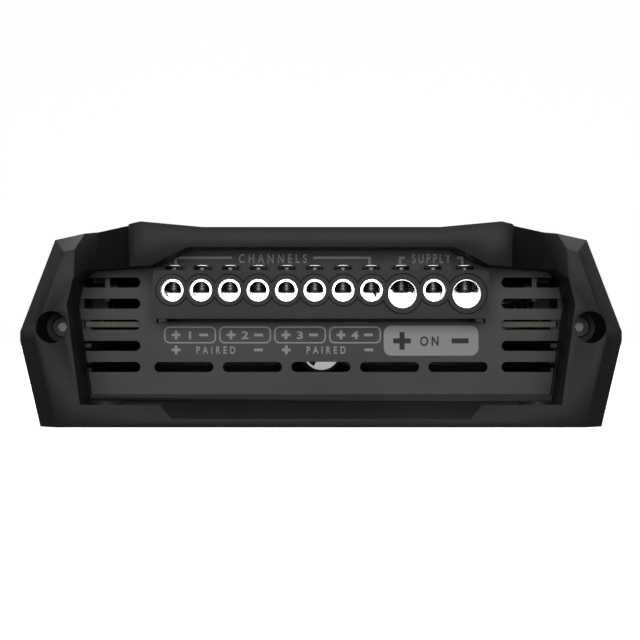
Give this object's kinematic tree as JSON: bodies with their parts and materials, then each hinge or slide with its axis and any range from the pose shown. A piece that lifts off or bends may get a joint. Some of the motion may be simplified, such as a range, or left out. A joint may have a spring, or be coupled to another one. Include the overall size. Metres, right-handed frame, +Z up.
{
  "type": "car amplifier",
  "caption": "Flat black amplifier with cast end caps, a recessed terminal block with clamp screws, vent slots, a small fan and an input panel with knobs and jacks.",
  "frame": {"origin": "centre of the case's underside, on the surface it rests on", "axes": "+X right as seen from the terminal end, +Y from the terminal end to the input end, +Z up"},
  "size_m": [0.17, 0.24, 0.058],
  "materials": {
    "cast_black": "fine textured satin",
    "body_black": "black anodised",
    "sheet_black": "powder coated",
    "panel_grey": "satin",
    "block_plastic": "satin",
    "bright_metal": "polished nickel",
    "screw_steel": "zinc plated",
    "black_steel": "black oxide",
    "board_green": "solder mask",
    "ribbon_grey": "soft",
    "chip_black": "moulded",
    "pad_grey": "matte",
    "can_sleeve": "sleeve",
    "ferrite": "matte",
    "copper": "enamelled copper",
    "jack_white": "gloss",
    "jack_red": "gloss",
    "knob_black": "satin",
    "lens_clear": "clear"
  },
  "bodies": {
    "chassis": {"base_plate": "sheet_black", "base_plate_screws": "black_steel", "board_connectors": "block_plastic", "board_ribbon": "ribbon_grey", "bracket_screws": "screw_steel", "clamp_bar_screws": "screw_steel", "end_cap_screws": "black_steel", "fan_bracket": "screw_steel", "fan_frame": "block_plastic", "fan_screws": "screw_steel", "filter_capacitors": "can_sleeve", "front_end_cap": "cast_black", "front_panel": "panel_grey", "heatsink_body": "body_black", "high_level_pins": "bright_metal", "high_level_socket": "block_plastic", "inductor_cores": "ferrite", "inductor_windings": "copper", "input_board": "board_green", "input_jack_block": "block_plastic", "input_jack_contacts": "bright_metal", "input_jack_shells": "bright_metal", "insulator_pads": "pad_grey", "left_jack_insulators": "jack_white", "main_board": "board_green", "potentiometer_bodies": "block_plastic", "power_terminal_clamps": "bright_metal", "power_transistors": "chip_black", "rear_end_cap": "cast_black", "rear_panel": "panel_grey", "remote_port": "block_plastic", "right_jack_insulators": "jack_red", "slide_switch_bodies": "block_plastic", "speaker_terminal_clamps": "bright_metal", "status_lenses": "lens_clear", "terminal_housing": "block_plastic", "transformer_core": "ferrite", "transformer_winding": "copper", "transistor_clamp_bars": "screw_steel"},
    "terminal_screw_01": {"terminal_screw_01": "screw_steel"},
    "terminal_screw_02": {"terminal_screw_02": "screw_steel"},
    "terminal_screw_03": {"terminal_screw_03": "screw_steel"},
    "terminal_screw_04": {"terminal_screw_04": "screw_steel"},
    "terminal_screw_05": {"terminal_screw_05": "screw_steel"},
    "terminal_screw_06": {"terminal_screw_06": "screw_steel"},
    "terminal_screw_07": {"terminal_screw_07": "screw_steel"},
    "terminal_screw_08": {"terminal_screw_08": "screw_steel"},
    "terminal_screw_09": {"terminal_screw_09": "screw_steel"},
    "terminal_screw_10": {"terminal_screw_10": "screw_steel"},
    "terminal_screw_11": {"terminal_screw_11": "screw_steel"},
    "front_gain_knob": {"front_gain_knob": "knob_black"},
    "front_crossover_knob": {"front_crossover_knob": "knob_black"},
    "rear_gain_knob": {"rear_gain_knob": "knob_black"},
    "rear_crossover_knob": {"rear_crossover_knob": "knob_black"},
    "front_mode_switch": {"front_mode_switch": "knob_black"},
    "rear_mode_switch": {"rear_mode_switch": "knob_black"},
    "fan_rotor": {"fan_rotor": "chip_black"}
  },
  "joints": [
    {"name": "terminal_screw_01_travel", "type": "slide", "parent": "chassis", "child": "terminal_screw_01", "axis": [0, 0, 1], "range_m": [-0.0009, 0.0036]},
    {"name": "terminal_screw_02_travel", "type": "slide", "parent": "chassis", "child": "terminal_screw_02", "axis": [0, 0, 1], "range_m": [-0.0009, 0.0036]},
    {"name": "terminal_screw_03_travel", "type": "slide", "parent": "chassis", "child": "terminal_screw_03", "axis": [0, 0, 1], "range_m": [-0.0009, 0.0036]},
    {"name": "terminal_screw_04_travel", "type": "slide", "parent": "chassis", "child": "terminal_screw_04", "axis": [0, 0, 1], "range_m": [-0.0009, 0.0036]},
    {"name": "terminal_screw_05_travel", "type": "slide", "parent": "chassis", "child": "terminal_screw_05", "axis": [0, 0, 1], "range_m": [-0.0009, 0.0036]},
    {"name": "terminal_screw_06_travel", "type": "slide", "parent": "chassis", "child": "terminal_screw_06", "axis": [0, 0, 1], "range_m": [-0.0009, 0.0036]},
    {"name": "terminal_screw_07_travel", "type": "slide", "parent": "chassis", "child": "terminal_screw_07", "axis": [0, 0, 1], "range_m": [-0.0009, 0.0036]},
    {"name": "terminal_screw_08_travel", "type": "slide", "parent": "chassis", "child": "terminal_screw_08", "axis": [0, 0, 1], "range_m": [-0.0009, 0.0036]},
    {"name": "terminal_screw_09_travel", "type": "slide", "parent": "chassis", "child": "terminal_screw_09", "axis": [0, 0, 1], "range_m": [-0.0038, 0.0036]},
    {"name": "terminal_screw_10_travel", "type": "slide", "parent": "chassis", "child": "terminal_screw_10", "axis": [0, 0, 1], "range_m": [-0.0009, 0.0036]},
    {"name": "terminal_screw_11_travel", "type": "slide", "parent": "chassis", "child": "terminal_screw_11", "axis": [0, 0, 1], "range_m": [-0.0038, 0.0036]},
    {"name": "front_gain_turn", "type": "hinge", "parent": "chassis", "child": "front_gain_knob", "pos_m": [-0.02, 0.0908, 0.036], "axis": [0, 1, 0], "range_deg": [-135, 135]},
    {"name": "front_crossover_turn", "type": "hinge", "parent": "chassis", "child": "front_crossover_knob", "pos_m": [-0.02, 0.0908, 0.021], "axis": [0, 1, 0], "range_deg": [-135, 135]},
    {"name": "rear_gain_turn", "type": "hinge", "parent": "chassis", "child": "rear_gain_knob", "pos_m": [0, 0.0908, 0.036], "axis": [0, 1, 0], "range_deg": [-135, 135]},
    {"name": "rear_crossover_turn", "type": "hinge", "parent": "chassis", "child": "rear_crossover_knob", "pos_m": [0, 0.0908, 0.021], "axis": [0, 1, 0], "range_deg": [-135, 135]},
    {"name": "front_mode_slide", "type": "slide", "parent": "chassis", "child": "front_mode_switch", "axis": [1, 0, 0], "range_m": [-0.002, 0.002]},
    {"name": "rear_mode_slide", "type": "slide", "parent": "chassis", "child": "rear_mode_switch", "axis": [1, 0, 0], "range_m": [-0.002, 0.002]},
    {"name": "fan_spin", "type": "hinge", "parent": "chassis", "child": "fan_rotor", "pos_m": [0, 0.0565, 0.0186], "axis": [0, 1, 0], "continuous": true}
  ]
}
